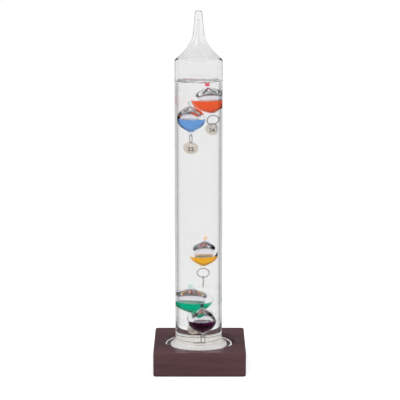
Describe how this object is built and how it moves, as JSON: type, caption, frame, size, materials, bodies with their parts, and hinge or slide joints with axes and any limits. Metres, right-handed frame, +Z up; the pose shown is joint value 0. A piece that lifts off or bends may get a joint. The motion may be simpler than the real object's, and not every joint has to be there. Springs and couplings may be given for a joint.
{
  "type": "galileo thermometer",
  "caption": "Galileo thermometer: sealed glass tube of clear liquid with colour-filled glass floats and hanging metal tags, standing in a square dark wooden base.",
  "frame": {"origin": "middle of the underside of the wooden base", "axes": "+Z up along the tube; -Y towards the front, the side the picture was taken from; +X to the right seen from the front"},
  "size_m": [0.075, 0.075, 0.292],
  "materials": {
    "dark_wood": "stained and satin lacquered, grain along the front",
    "clear_glass": "clear blown and pressed glass, fire polished",
    "clear_liquid": "clear colourless liquid",
    "red_liquid": "clear liquid with a red-orange tint",
    "blue_liquid": "clear liquid with a blue tint",
    "yellow_liquid": "clear liquid with an amber tint",
    "green_liquid": "clear liquid with a green tint",
    "purple_liquid": "clear liquid with a dark purple tint",
    "red_drop": "clear pink-red drop",
    "blue_drop": "clear pale blue-green drop",
    "yellow_drop": "clear orange drop",
    "green_drop": "clear pale green drop",
    "purple_drop": "clear dull purple drop",
    "ring_wire": "drawn wire, slightly dull",
    "tag_metal": "thin stamped sheet, finely brushed"
  },
  "bodies": {
    "base": {"wooden_base": "dark_wood"},
    "tube": {"glass_tube": "clear_glass", "clear_liquid": "clear_liquid"},
    "red_float": {"red_bulb": "clear_glass", "red_filling": "red_liquid", "red_sealing_drop": "red_drop"},
    "red_link": {"red_wire_ring": "ring_wire"},
    "red_pendant": {"red_tag": "tag_metal"},
    "blue_float": {"blue_bulb": "clear_glass", "blue_filling": "blue_liquid", "blue_sealing_drop": "blue_drop"},
    "blue_link": {"blue_wire_ring": "ring_wire"},
    "blue_pendant": {"blue_tag": "tag_metal"},
    "yellow_float": {"yellow_bulb": "clear_glass", "yellow_filling": "yellow_liquid", "yellow_sealing_drop": "yellow_drop"},
    "yellow_link": {"yellow_wire_ring": "ring_wire"},
    "yellow_pendant": {"yellow_tag": "tag_metal"},
    "green_float": {"green_bulb": "clear_glass", "green_filling": "green_liquid", "green_sealing_drop": "green_drop"},
    "green_link": {"green_wire_ring": "ring_wire"},
    "green_pendant": {"green_tag": "tag_metal"},
    "purple_float": {"purple_bulb": "clear_glass", "purple_filling": "purple_liquid", "purple_sealing_drop": "purple_drop"},
    "purple_link": {"purple_wire_ring": "ring_wire"},
    "purple_pendant": {"purple_tag": "tag_metal"}
  },
  "joints": [
    {"name": "tube_lift", "type": "slide", "parent": "base", "child": "tube", "axis": [0, 0, 1], "range_m": [0, 0.045]},
    {"name": "red_rise", "type": "slide", "parent": "tube", "child": "red_float", "axis": [0, 0, 1], "range_m": [-0.0009, 0.004], "stiffness_N_per_m": 0.5, "springref_m": 0.0744, "deforming": ["clear_liquid"]},
    {"name": "red_ring_swing", "type": "hinge", "parent": "red_float", "child": "red_link", "pos_m": [0.00624, 0.00419, 0.20807], "axis": [0.6428, 0.766, 0], "range_deg": [-20, 20]},
    {"name": "red_tag_swing", "type": "hinge", "parent": "red_link", "child": "red_pendant", "pos_m": [0.00624, 0.00419, 0.20027], "axis": [0.6428, 0.766, 0], "range_deg": [-35, 35]},
    {"name": "blue_rise", "type": "slide", "parent": "tube", "child": "blue_float", "axis": [0, 0, 1], "range_m": [-0.066, 0.0009], "stiffness_N_per_m": 0.5, "springref_m": 0.0744, "deforming": ["clear_liquid"]},
    {"name": "blue_ring_swing", "type": "hinge", "parent": "blue_float", "child": "blue_link", "pos_m": [-0.0057, -0.0051, 0.1938], "axis": [0.309, 0.9511, 0], "range_deg": [-20, 20]},
    {"name": "blue_tag_swing", "type": "hinge", "parent": "blue_link", "child": "blue_pendant", "pos_m": [-0.0057, -0.0051, 0.186], "axis": [0.309, 0.9511, 0], "range_deg": [-35, 35]},
    {"name": "yellow_rise", "type": "slide", "parent": "tube", "child": "yellow_float", "axis": [0, 0, 1], "range_m": [-0.0095, 0.066], "stiffness_N_per_m": 0.5, "springref_m": 0.06255, "deforming": ["clear_liquid"]},
    {"name": "yellow_ring_swing", "type": "hinge", "parent": "yellow_float", "child": "yellow_link", "pos_m": [0.00204, -0.00399, 0.08313], "axis": [1, 0, 0], "range_deg": [-20, 20]},
    {"name": "yellow_tag_swing", "type": "hinge", "parent": "yellow_link", "child": "yellow_pendant", "pos_m": [0.00204, -0.00399, 0.07533], "axis": [1, 0, 0], "range_deg": [-35, 35]},
    {"name": "green_rise", "type": "slide", "parent": "tube", "child": "green_float", "axis": [0, 0, 1], "range_m": [-0.0009, 0.0095], "deforming": ["clear_liquid"]},
    {"name": "green_ring_swing", "type": "hinge", "parent": "green_float", "child": "green_link", "pos_m": [-0.00299, 0.0066, 0.04134], "axis": [0.7071, -0.7071, 0], "range_deg": [-12, 20]},
    {"name": "green_tag_swing", "type": "hinge", "parent": "green_link", "child": "green_pendant", "pos_m": [-0.00299, 0.0066, 0.03354], "axis": [0.7071, -0.7071, 0], "range_deg": [-35, 35]},
    {"name": "purple_rise", "type": "slide", "parent": "tube", "child": "purple_float", "axis": [0, 0, 1], "range_m": [0, 0.0009], "deforming": ["clear_liquid"]},
    {"name": "purple_ring_swing", "type": "hinge", "parent": "purple_float", "child": "purple_link", "pos_m": [0.00206, -0.00619, 0.0267], "axis": [-0.4179, 0.9085, 0], "range_deg": [-5, 5]},
    {"name": "purple_tag_swing", "type": "hinge", "parent": "purple_link", "child": "purple_pendant", "pos_m": [0.00133, -0.00462, 0.01974], "axis": [-0.1879, 0.4085, 0.8932], "range_deg": [-15, 15]}
  ]
}
